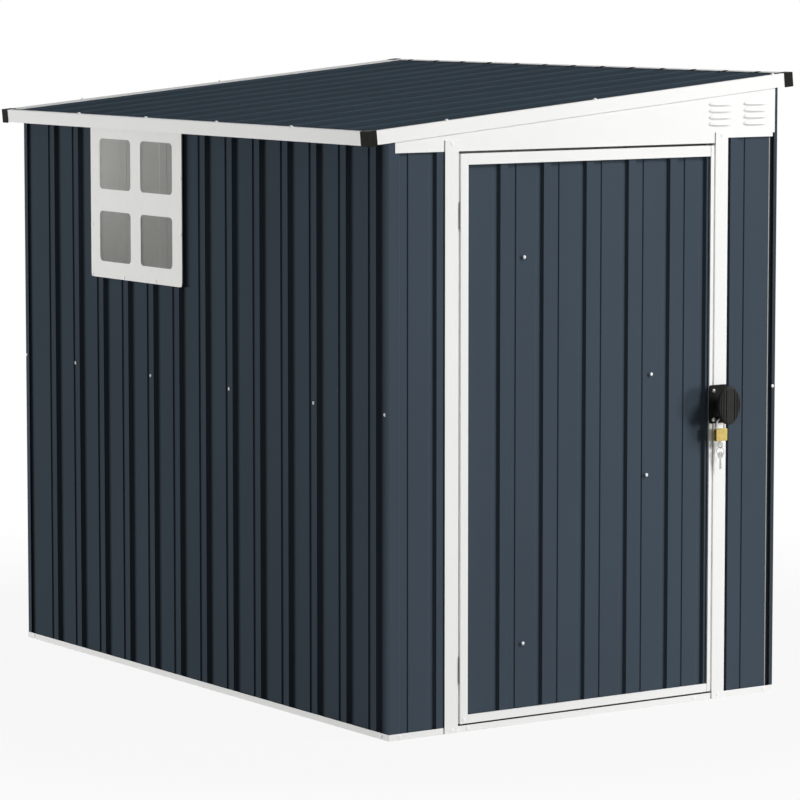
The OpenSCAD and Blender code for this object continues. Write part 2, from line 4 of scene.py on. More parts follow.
import bmesh
import bpy
from bpy.props import FloatProperty, FloatVectorProperty, PointerProperty
from mathutils import Matrix, Vector


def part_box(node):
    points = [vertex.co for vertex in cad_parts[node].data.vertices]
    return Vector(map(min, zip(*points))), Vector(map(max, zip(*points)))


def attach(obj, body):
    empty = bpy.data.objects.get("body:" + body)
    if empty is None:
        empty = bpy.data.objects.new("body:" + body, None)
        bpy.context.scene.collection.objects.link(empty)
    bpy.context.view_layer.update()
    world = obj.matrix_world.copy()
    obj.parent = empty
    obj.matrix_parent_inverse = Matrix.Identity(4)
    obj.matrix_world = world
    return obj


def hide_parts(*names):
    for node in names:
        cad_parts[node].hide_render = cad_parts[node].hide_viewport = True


bl_info = {
    "name": "Metal Lean-to Shed",
    "version": (1, 0, 0),
    "blender": (4, 5, 0),
    "location": "View3D > Sidebar > Shed",
    "description": "Gives the metal lean-to shed its coatings, screws, louvres, latch and padlock",
    "category": "Add Mesh",
}

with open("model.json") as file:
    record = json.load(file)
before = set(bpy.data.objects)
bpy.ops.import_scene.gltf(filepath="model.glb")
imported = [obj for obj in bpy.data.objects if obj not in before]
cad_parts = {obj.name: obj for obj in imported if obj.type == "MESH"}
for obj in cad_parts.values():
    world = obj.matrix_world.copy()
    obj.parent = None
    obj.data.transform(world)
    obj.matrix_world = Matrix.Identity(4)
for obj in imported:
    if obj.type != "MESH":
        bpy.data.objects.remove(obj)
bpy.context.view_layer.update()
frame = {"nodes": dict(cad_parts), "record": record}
BODY_OF = {
    node: body
    for body, nodes in frame["record"]["behaviour"]["bodies"].items()
    for node in nodes
}
MM = 0.001

# The frame's own places, in metres. Base rails and gable panels stand a little proud of the walls.
PROUD = 1 * MM
FRONT_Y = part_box("base_rail_front")[0].y + PROUD
LOW_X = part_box("base_rail_left")[0].x + PROUD
BACK_Y = -FRONT_Y
HIGH_X = -LOW_X
# Points of one mesh closer than this are the same point.
SAME_PLACE = 0.02 * MM

# The roof rises from the low eave trim's top edge, which overhangs the low long wall.
ROOF_SLOPE = math.radians(5.35)
ROOF_RUN = Vector((math.cos(ROOF_SLOPE), 0, math.sin(ROOF_SLOPE)))
ROOF_UP = Vector((-math.sin(ROOF_SLOPE), 0, math.cos(ROOF_SLOPE)))
LOW_OVERHANG = 72 * MM
LOW_TOP_Z = 1625 * MM
HIGH_LIP = 24 * MM

# The ways that a sheet or a screw looks, out of the building.
OUT, BACK, LEFT, RIGHT, UP = (0, -1, 0), (0, 1, 0), (-1, 0, 0), (1, 0, 0), (0, 0, 1)

# A Mix node's colour sockets share their names with its others, so they are taken by their places.
MIX_FACTOR, MIX_COLOUR_A, MIX_COLOUR_B, MIXED_COLOUR = 0, 6, 7, 2


def from_low(x):
    """A place along the door wall, in millimetres from its low corner, as the frame's X."""
    return LOW_X + x * MM


def from_front(y):
    """A place along the long walls, in millimetres from the door wall, as the frame's Y."""
    return FRONT_Y + y * MM


def on_roof(up_slope, y, above=0.0):
    """A place on the roof in metres: up the slope from the low trim's top edge, along Y and above it."""
    return Vector((LOW_X - LOW_OVERHANG, y, LOW_TOP_Z)) + ROOF_RUN * up_slope + ROOF_UP * above


# ---- Colours and nodes -----------------------------------------------------------------------------


def linear(colour):
    """Turns an sRGB hex value into the linear colour that Blender's sockets take."""
    parts = [int(colour[i : i + 2], 16) / 255 for i in (1, 3, 5)]
    return (*[c / 12.92 if c <= 0.04045 else ((c + 0.055) / 1.055) ** 2.4 for c in parts], 1.0)


def add(tree, kind, values=None, links=None, **settings):
    """Adds a node with its settings, its sockets' values and the links into it."""
    node = tree.nodes.new(kind)
    for name, value in settings.items():
        setattr(node, name, value)
    for socket, value in (values or {}).items():
        node.inputs[socket].default_value = value
    for socket, source in (links or {}).items():
        tree.links.new(source, node.inputs[socket])
    return node


def new_material(name):
    """A node-based material with nothing in it, its tree and its output node."""
    material = bpy.data.materials.new(name)
    material.use_nodes = True
    material.node_tree.nodes.clear()
    return material, material.node_tree, add(material.node_tree, "ShaderNodeOutputMaterial")


def shades(colour, shift):
    """The same colour a little darker and a little lighter."""
    return [(*[min(1.0, c * share) for c in colour[:3]], 1.0) for share in (1 - shift, 1 + shift)]


def drift(tree, place, colour_a, colour_b, cloud_mm, stretch=(1, 1, 1)):
    """A colour that drifts between two values in soft clouds of a size in millimetres."""
    mapped = add(tree, "ShaderNodeMapping", {"Scale": stretch}, {"Vector": place})
    clouds = add(
        tree,
        "ShaderNodeTexNoise",
        {"Scale": 1000 / cloud_mm, "Detail": 4.0},
        {"Vector": mapped.outputs[0]},
    )
    spread = add(
        tree,
        "ShaderNodeMapRange",
        {"From Min": 0.35, "From Max": 0.65},
        {"Value": clouds.outputs["Fac"]},
    )
    return add(
        tree,
        "ShaderNodeMix",
        {MIX_COLOUR_A: colour_a, MIX_COLOUR_B: colour_b},
        {MIX_FACTOR: spread.outputs[0]},
        data_type="RGBA",
    ).outputs[MIXED_COLOUR]


def fine_bump(tree, place, grain_mm, strength, depth_mm):
    """A bump from fine grains of a size in millimetres."""
    grains = add(
        tree, "ShaderNodeTexNoise", {"Scale": 1000 / grain_mm, "Detail": 2.0}, {"Vector": place}
    )
    return add(
        tree,
        "ShaderNodeBump",
        {"Strength": strength, "Distance": depth_mm * MM},
        {"Height": grains.outputs["Fac"]},
    ).outputs[0]


def varied(tree, place, low, high, cloud_mm):
    """A number, such as a roughness, that drifts in soft clouds of a size in millimetres."""
    clouds = add(
        tree, "ShaderNodeTexNoise", {"Scale": 1000 / cloud_mm, "Detail": 3.0}, {"Vector": place}
    )
    return add(
        tree,
        "ShaderNodeMapRange",
        {"From Min": 0.3, "From Max": 0.7, "To Min": low, "To Max": high},
        {"Value": clouds.outputs["Fac"]},
    ).outputs[0]


# ---- Materials -------------------------------------------------------------------------------------


def coated_steel(name, colour, shift, roughness, specular, outward=None):
    """Polyester powder coat on galvanised steel: an even colour with a soft sheen and a faint orange
    peel. Given the way out of the building, a sheet's inner face shows its pale back coat."""
    material, tree, output = new_material(name)
    where = add(tree, "ShaderNodeTexCoord")
    place = where.outputs["Object"]
    coat = drift(tree, place, *shades(colour, shift), 400, (1, 1, 0.4))
    if outward is not None:
        facing = add(
            tree,
            "ShaderNodeVectorMath",
            {1: outward},
            {0: where.outputs["Normal"]},
            operation="DOT_PRODUCT",
        )
        inside = add(
            tree,
            "ShaderNodeMath",
            {1: -0.02},
            {0: facing.outputs["Value"]},
            operation="LESS_THAN",
        )
        coat = add(
            tree,
            "ShaderNodeMix",
            {MIX_COLOUR_B: linear("#A9AAA6")},
            {MIX_FACTOR: inside.outputs[0], MIX_COLOUR_A: coat},
            data_type="RGBA",
        ).outputs[MIXED_COLOUR]
    # The real orange peel is about 1.5 mm across. It is drawn at 4 mm so that it shows.
    peel = fine_bump(tree, place, grain_mm=4, strength=0.12, depth_mm=0.15)
    shader = add(
        tree,
        "ShaderNodeBsdfPrincipled",
        {"Specular IOR Level": specular},
        {
            "Base Color": coat,
            "Roughness": varied(tree, place, roughness - 0.05, roughness + 0.05, 110),
            "Normal": peel,
        },
    )
    tree.links.new(shader.outputs[0], output.inputs["Surface"])
    return material


def moulded_plastic(name, colour, shift, roughness, specular, grain_mm=1.2):
    """Injection-moulded ABS or nylon, or closed-cell foam: a fine grain that keeps the gloss low."""
    material, tree, output = new_material(name)
    place = add(tree, "ShaderNodeTexCoord").outputs["Object"]
    # A mould's real grain is about 0.2 mm and a foam's cells about 1 mm. They are drawn coarser so
    # that they show.
    grain = fine_bump(tree, place, grain_mm, strength=0.1, depth_mm=0.03)
    shader = add(
        tree,
        "ShaderNodeBsdfPrincipled",
        {"Specular IOR Level": specular, "IOR": 1.53},
        {
            "Base Color": drift(tree, place, *shades(colour, shift), 33),
            "Roughness": varied(tree, place, roughness - 0.06, roughness + 0.06, 17),
            "Normal": grain,
        },
    )
    tree.links.new(shader.outputs[0], output.inputs["Surface"])
    return material


def bare_metal(name, colour_a, colour_b, roughness, stretch):
    """Drawn brass, nickel-plated brass or zinc-plated steel, with the fine lines of its drawing."""
    material, tree, output = new_material(name)
    place = add(tree, "ShaderNodeTexCoord").outputs["Object"]
    lines = add(tree, "ShaderNodeMapping", {"Scale": stretch}, {"Vector": place}).outputs[0]
    # The real lines are about 0.1 mm apart. They are drawn at 0.7 mm so that they show.
    line_bump = fine_bump(tree, lines, grain_mm=0.7, strength=0.1, depth_mm=0.05)
    shader = add(
        tree,
        "ShaderNodeBsdfPrincipled",
        {"Metallic": 1.0},
        {
            "Base Color": drift(tree, place, colour_a, colour_b, 11),
            "Roughness": varied(tree, lines, roughness - 0.08, roughness + 0.08, 2.5),
            "Normal": line_bump,
        },
    )
    tree.links.new(shader.outputs[0], output.inputs["Surface"])
    return material


def hazy_pane(name, colour_a, colour_b, alpha):
    """Extruded acrylic sheet with a light haze: the room shows through it as soft grey shapes."""
    material, tree, output = new_material(name)
    place = add(tree, "ShaderNodeTexCoord").outputs["Object"]
    shader = add(
        tree,
        "ShaderNodeBsdfPrincipled",
        {"Specular IOR Level": 0.15, "Alpha": alpha},
        {
            "Base Color": drift(tree, place, colour_a, colour_b, 286),
            "Roughness": varied(tree, place, 0.3, 0.42, 83),
        },
    )
    tree.links.new(shader.outputs[0], output.inputs["Surface"])
    return material


MATERIALS = {}


def made_finish(name):
    """A finish that the finishes operator has made."""
    if name not in MATERIALS:
        raise RuntimeError(f"the finish {name} isn't made yet")
    return MATERIALS[name]


def paint(node, name):
    """Puts a finish into a CAD node's material slot."""
    mesh = frame["nodes"][node].data
    mesh.materials.clear()
    mesh.materials.append(made_finish(name))


# ---- Meshes ----------------------------------------------------------------------------------------


def new_piece(name, mesh, finish, body):
    """Puts a mesh into the scene as a piece that moves with a body."""
    piece = bpy.data.objects.new(name, mesh)
    bpy.context.scene.collection.objects.link(piece)
    mesh.materials.clear()
    mesh.materials.append(made_finish(finish))
    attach(piece, body)
    return piece


def mesh_from(bm, name, smooth=False):
    """Ends a bmesh: outward faces, and flat or smooth shading."""
    bmesh.ops.recalc_face_normals(bm, faces=bm.faces)
    mesh = bpy.data.meshes.new(name)
    bm.to_mesh(mesh)
    bm.free()
    for face in mesh.polygons:
        face.use_smooth = smooth
    return mesh


def baked(piece_object):
    """Turns an object and its modifiers into a plain mesh and removes the object."""
    bpy.context.view_layer.update()
    graph = bpy.context.evaluated_depsgraph_get()
    mesh = bpy.data.meshes.new_from_object(piece_object.evaluated_get(graph))
    bpy.data.objects.remove(piece_object)
    return mesh


def rounded_copy(node, name, finish, radius, segments=2):
    """Takes a CAD node's shape and gives its folds and edges their small radius."""
    bm = bmesh.new()
    bm.from_mesh(frame["nodes"][node].data)
    bmesh.ops.remove_doubles(bm, verts=bm.verts, dist=SAME_PLACE)
    bmesh.ops.dissolve_limit(
        bm, angle_limit=math.radians(1), verts=bm.verts, edges=bm.edges, use_dissolve_boundaries=False
    )
    for face in bm.faces:
        face.smooth = False
    mesh = bpy.data.meshes.new(name)
    bm.to_mesh(mesh)
    bm.free()
    shape = bpy.data.objects.new(name + "_shape", mesh)
    bpy.context.scene.collection.objects.link(shape)
    bevel = shape.modifiers.new("edges", "BEVEL")
    bevel.width = radius
    bevel.segments = segments
    bevel.limit_method = "ANGLE"
    bevel.angle_limit = math.radians(30)
    piece = new_piece(name, baked(shape), finish, BODY_OF[node])
    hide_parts(node)


# ---- Geometry Nodes --------------------------------------------------------------------------------


def new_tree(name, inputs):
    """A geometry tree with named inputs (name, socket type, default), and the way each point looks."""
    tree = bpy.data.node_groups.new(name, "GeometryNodeTree")
    tree.interface.new_socket("Geometry", in_out="INPUT", socket_type="NodeSocketGeometry")
    for label, kind, default in inputs:
        socket = tree.interface.new_socket(label, in_out="INPUT", socket_type=kind)
        if default is not None:
            socket.default_value = default
    tree.interface.new_socket("Geometry", in_out="OUTPUT", socket_type="NodeSocketGeometry")
    facing = add(
        tree, "GeometryNodeInputNamedAttribute", {"Name": "facing"}, data_type="FLOAT_VECTOR"
    )
    return tree, add(tree, "NodeGroupInput"), facing.outputs["Attribute"]


def closed_shell(tree, sheet, depth):
    """Gives a flat or curved sheet its depth and closes it with the sheet turned over."""
    thick = add(
        tree,
        "GeometryNodeExtrudeMesh",
        {"Individual": False},
        {"Mesh": sheet, "Offset Scale": depth},
        mode="FACES",
    )
    back = add(tree, "GeometryNodeFlipFaces", links={"Mesh": sheet})
    joined = add(tree, "GeometryNodeJoinGeometry", links={"Geometry": thick.outputs["Mesh"]})
    tree.links.new(back.outputs[0], joined.inputs["Geometry"])
    return add(
        tree,
        "GeometryNodeMergeByDistance",
        {"Distance": 0.01 * MM},
        {"Geometry": joined.outputs[0]},
    ).outputs[0]


def stand_on_points(tree, given, item, turn):
    """Ends a tree: the item on every point, turned its way, as real geometry with its finish."""
    placed = add(
        tree,
        "GeometryNodeInstanceOnPoints",
        links={"Points": given.outputs["Geometry"], "Instance": item, "Rotation": turn},
    )
    real = add(tree, "GeometryNodeRealizeInstances", links={"Geometry": placed.outputs[0]})
    finished = add(
        tree,
        "GeometryNodeSetMaterial",
        links={"Geometry": real.outputs[0], "Material": given.outputs["Material"]},
    )
    add(tree, "NodeGroupOutput", links={"Geometry": finished.outputs[0]})


def screw_tree():
    """Domed screws on flat washers, with a cross recess, stood on points along their facing."""
    tree, given, facing = new_tree(
        "Screw heads",
        [
            ("Head Radius", "NodeSocketFloat", 0.0042),
            ("Head Height", "NodeSocketFloat", 0.0024),
            ("Washer Radius", "NodeSocketFloat", 0.006),
            ("Washer Height", "NodeSocketFloat", 0.001),
            ("Material", "NodeSocketMaterial", None),
        ],
    )
    washer = add(
        tree,
        "GeometryNodeMeshCylinder",
        {"Vertices": 20},
        {"Radius": given.outputs["Washer Radius"], "Depth": given.outputs["Washer Height"]},
    )
    half = add(
        tree, "ShaderNodeMath", {1: 0.5}, {0: given.outputs["Washer Height"]}, operation="MULTIPLY"
    )
    lift = add(tree, "ShaderNodeCombineXYZ", links={"Z": half.outputs[0]})
    washer_up = add(
        tree,
        "GeometryNodeTransform",
        links={"Geometry": washer.outputs["Mesh"], "Translation": lift.outputs[0]},
    )
    ball = add(
        tree,
        "GeometryNodeMeshUVSphere",
        {"Segments": 20, "Rings": 10},
        {"Radius": given.outputs["Head Radius"]},
    )
    squash = add(
        tree,
        "ShaderNodeMath",
        links={0: given.outputs["Head Height"], 1: given.outputs["Head Radius"]},
        operation="DIVIDE",
    )
    squash_xyz = add(tree, "ShaderNodeCombineXYZ", {"X": 1.0, "Y": 1.0}, {"Z": squash.outputs[0]})
    on_washer = add(tree, "ShaderNodeCombineXYZ", links={"Z": given.outputs["Washer Height"]})
    dome = add(
        tree,
        "GeometryNodeTransform",
        links={
            "Geometry": ball.outputs["Mesh"],
            "Translation": on_washer.outputs[0],
            "Scale": squash_xyz.outputs[0],
        },
    )
    top = add(
        tree,
        "ShaderNodeMath",
        links={0: given.outputs["Washer Height"], 1: given.outputs["Head Height"]},
        operation="ADD",
    )
    at_top = add(tree, "ShaderNodeCombineXYZ", links={"Z": top.outputs[0]})
    cut = add(
        tree, "GeometryNodeMeshBoolean", links={"Mesh 1": dome.outputs[0]}, operation="DIFFERENCE"
    )
    # The two bars of the cross recess, as shares of the head's radius.
    long, wide, deep = 0.9, 0.16, 0.3
    for shares in ((long, wide, deep), (wide, long, deep)):
        size = add(
            tree,
            "ShaderNodeVectorMath",
            {1: shares},
            {0: given.outputs["Head Radius"]},
            operation="MULTIPLY",
        )
        block = add(tree, "GeometryNodeMeshCube", links={"Size": size.outputs[0]})
        bar = add(
            tree,
            "GeometryNodeTransform",
            links={"Geometry": block.outputs["Mesh"], "Translation": at_top.outputs[0]},
        )
        tree.links.new(bar.outputs[0], cut.inputs["Mesh 2"])
    head = add(tree, "GeometryNodeJoinGeometry", links={"Geometry": washer_up.outputs[0]})
    tree.links.new(cut.outputs["Mesh"], head.inputs["Geometry"])
    turn = add(tree, "FunctionNodeAlignRotationToVector", links={"Vector": facing}, axis="Z")
    stand_on_points(tree, given, head.outputs[0], turn.outputs[0])
    return tree


def louvre_tree():
    """Pressed louvre hoods on points: a thin curved shell that opens downwards."""
    tree, given, facing = new_tree(
        "Louvre hoods",
        [
            ("Width", "NodeSocketFloat", 0.083),
            ("Height", "NodeSocketFloat", 0.0118),
            ("Stand Out", "NodeSocketFloat", 0.0042),
            ("End Lift", "NodeSocketFloat", 0.0015),
            ("Sheet", "NodeSocketFloat", 0.0007),
            ("Material", "NodeSocketMaterial", None),
        ],
    )
    grid = add(
        tree,
        "GeometryNodeMeshGrid",
        {"Size X": 2.0, "Size Y": 1.0, "Vertices X": 33, "Vertices Y": 9},
    )
    place = add(tree, "GeometryNodeInputPosition")
    along = add(tree, "ShaderNodeSeparateXYZ", links={0: place.outputs[0]})
    up = add(tree, "ShaderNodeMath", {1: 0.5}, {0: along.outputs["Y"]}, operation="ADD")
    side = add(tree, "ShaderNodeMath", links={0: along.outputs["X"]}, operation="ABSOLUTE")
    # The hood sinks into the sheet towards its ends, and its lower edge turns up there.
    sink_power, lift_power = 3.5, 6.0
    side_power = add(
        tree, "ShaderNodeMath", {1: sink_power}, {0: side.outputs[0]}, operation="POWER"
    )
    side_fall = add(tree, "ShaderNodeMath", {0: 1.0}, {1: side_power.outputs[0]}, operation="SUBTRACT")
    down = add(tree, "ShaderNodeMath", {0: 1.0}, {1: up.outputs[0]}, operation="SUBTRACT")
    quarter = add(
        tree, "ShaderNodeMath", {1: math.pi / 2}, {0: down.outputs[0]}, operation="MULTIPLY"
    )
    swell = add(tree, "ShaderNodeMath", links={0: quarter.outputs[0]}, operation="SINE")
    bulge = add(
        tree,
        "ShaderNodeMath",
        links={0: swell.outputs[0], 1: side_fall.outputs[0]},
        operation="MULTIPLY",
    )
    out = add(
        tree,
        "ShaderNodeMath",
        links={0: bulge.outputs[0], 1: given.outputs["Stand Out"]},
        operation="MULTIPLY",
    )
    half_width = add(tree, "ShaderNodeMath", {1: 0.5}, {0: given.outputs["Width"]}, operation="MULTIPLY")
    across = add(
        tree,
        "ShaderNodeMath",
        links={0: along.outputs["X"], 1: half_width.outputs[0]},
        operation="MULTIPLY",
    )
    full_height = add(
        tree,
        "ShaderNodeMath",
        links={0: up.outputs[0], 1: given.outputs["Height"]},
        operation="MULTIPLY",
    )
    low_ends = add(tree, "ShaderNodeMath", {1: 0.5}, {0: side_fall.outputs[0]}, operation="POWER")
    end_power = add(
        tree, "ShaderNodeMath", {1: lift_power}, {0: side.outputs[0]}, operation="POWER"
    )
    lift = add(
        tree,
        "ShaderNodeMath",
        links={0: end_power.outputs[0], 1: given.outputs["End Lift"]},
        operation="MULTIPLY",
    )
    height = add(
        tree,
        "ShaderNodeMath",
        links={0: full_height.outputs[0], 1: low_ends.outputs[0], 2: lift.outputs[0]},
        operation="MULTIPLY_ADD",
    )
    outwards = add(tree, "ShaderNodeMath", {1: -1.0}, {0: out.outputs[0]}, operation="MULTIPLY")
    shell_place = add(
        tree,
        "ShaderNodeCombineXYZ",
        links={"X": across.outputs[0], "Y": outwards.outputs[0], "Z": height.outputs[0]},
    )
    shell = add(
        tree,
        "GeometryNodeSetPosition",
        links={"Geometry": grid.outputs["Mesh"], "Position": shell_place.outputs[0]},
    )
    hood = closed_shell(tree, shell.outputs[0], given.outputs["Sheet"])
    smooth = add(tree, "GeometryNodeSetShadeSmooth", links={"Geometry": hood})
    into_wall = add(
        tree, "ShaderNodeVectorMath", {1: (-1.0, -1.0, -1.0)}, {0: facing}, operation="MULTIPLY"
    )
    turn = add(
        tree,
        "FunctionNodeAlignRotationToVector",
        links={"Vector": into_wall.outputs[0]},
        axis="Y",
        pivot_axis="Z",
    )
    stand_on_points(tree, given, smooth.outputs[0], turn.outputs[0])
    return tree


def closure_tree():
    """Foam closures on points: short blocks with a tapered end view, whose length follows their facing
    and whose top faces the roof's way up."""
    tree, given, facing = new_tree(
        "Foam closures, dark as shade",
        [
            ("Foot Width", "NodeSocketFloat", 0.006),
            ("Top Width", "NodeSocketFloat", 0.01),
            ("Height", "NodeSocketFloat", 0.009),
            ("Length", "NodeSocketFloat", 0.015),
            ("Material", "NodeSocketMaterial", None),
        ],
    )
    outline = add(
        tree,
        "GeometryNodeCurvePrimitiveQuadrilateral",
        {"Offset": 0.0},
        {
            "Bottom Width": given.outputs["Foot Width"],
            "Top Width": given.outputs["Top Width"],
            "Height": given.outputs["Height"],
        },
        mode="TRAPEZOID",
    )
    face = add(tree, "GeometryNodeFillCurve", links={"Curve": outline.outputs[0]}, mode="NGONS")
    block = closed_shell(tree, face.outputs[0], given.outputs["Length"])
    turn = add(
        tree,
        "FunctionNodeAxesToRotation",
        {"Secondary Axis": ROOF_UP},
        {"Primary Axis": facing},
        primary_axis="Z",
        secondary_axis="Y",
    )
    stand_on_points(tree, given, block, turn.outputs[0])
    return tree


def grown(name, tree, points, inputs, body):
    """Runs a geometry tree on points, each with its facing, and keeps the result as a piece."""
    mesh = bpy.data.meshes.new(name + "_points")
    mesh.from_pydata([p for p, _ in points], [], [])
    facing = mesh.attributes.new("facing", "FLOAT_VECTOR", "POINT")
    for item, (_, way) in zip(facing.data, points):
        item.vector = way
    shape = bpy.data.objects.new(name + "_shape", mesh)
    bpy.context.scene.collection.objects.link(shape)
    grower = shape.modifiers.new(name, "NODES")
    grower.node_group = tree
    sockets = {
        item.name: item.identifier
        for item in tree.interface.items_tree
        if item.item_type == "SOCKET" and item.in_out == "INPUT"
    }
    for label, value in inputs.items():
        grower[sockets[label]] = value
    new_piece(name, baked(shape), inputs["Material"].name, body)


# ---- Settings --------------------------------------------------------------------------------------


def colour_setting(name, description, colour):
    """A colour that the user can change, from its sRGB hex value."""
    return FloatVectorProperty(
        name=name, description=description, subtype="COLOR", size=4, min=0, max=1, default=linear(colour)
    )


def length_setting(name, description, low, default, high):
    """A length that the user can change, in metres."""
    return FloatProperty(
        name=name, description=description, unit="LENGTH", min=low, max=high, default=default
    )


def power_setting(name, description, default, high=20000):
    """A lamp's power that the user can change, in watts."""
    return FloatProperty(
        name=name, description=description, subtype="POWER", min=0, max=high, default=default
    )


class ShedFinish(bpy.types.PropertyGroup):
    wall: colour_setting(
        "Coat of the door wall", "Colour of the sheets of the door, door wall and back wall", "#414B55"
    )
    # The long walls carry the door wall's coat drawn about 8 % darker: painted shade for the low grazing
    # light that falls on them.
    long_wall_shaded: colour_setting(
        "Coat of the long walls, with painted shade", "Colour of the ribbed sheets of the two long walls, darkened as painted shade", "#3C454D"
    )
    roof: colour_setting("Roof coat", "Colour of the ribbed roof sheets", "#44505A")
    trim: colour_setting("Trim coat", "Colour of the rails, jambs, trims and door frame", "#F3F3F1")
    moulding: colour_setting(
        "Black mouldings", "Colour of the corner caps and of the latch plate", "#252524"
    )


class ShedFittings(bpy.types.PropertyGroup):
    screw_radius: length_setting(
        "Sheet screw head radius", "Radius of a domed screw in the ribbed sheets", 0.002, 0.0044, 0.008
    )
    truss_radius: length_setting(
        "Truss screw head radius",
        "Radius of a flat screw in the jambs, base rails and window frame",
        0.003,
        0.0055,
        0.008,
    )
    roof_screw_radius: length_setting(
        "Roof screw head radius", "Radius of a tall screw in the roof trims", 0.003, 0.0045, 0.008
    )
    fold_radius: length_setting(
        "Fold radius", "Outer radius of a fold in the trims, rails and jambs", 0.0002, 0.00045, 0.00045
    )
    knob_ridge: length_setting(
        "Knob groove", "Depth of the upright grooves in the latch knob", 0.0, 0.0024, 0.004
    )


class ShedStage(bpy.types.PropertyGroup):
    key_power: power_setting("Key lamp", "Power of the high lamp in front of the shed", 1230)
    fill_power: power_setting(
        "Fill lamp", "Power of the low lamp at the right of the door wall", 1030
    )
    side_power: power_setting(
        "Side lamp", "Power of the lamp that grazes the low long wall from behind", 10500
    )
    room_power: power_setting(
        "Room lamp", "Power of the small lamp inside, which stands for the daylight there", 5.5, 200
    )
    sky: FloatProperty(
        name="Sky",
        description="Strength of the even light from all round",
        min=0,
        max=2,
        default=0.2,
    )


# ---- Operators -------------------------------------------------------------------------------------


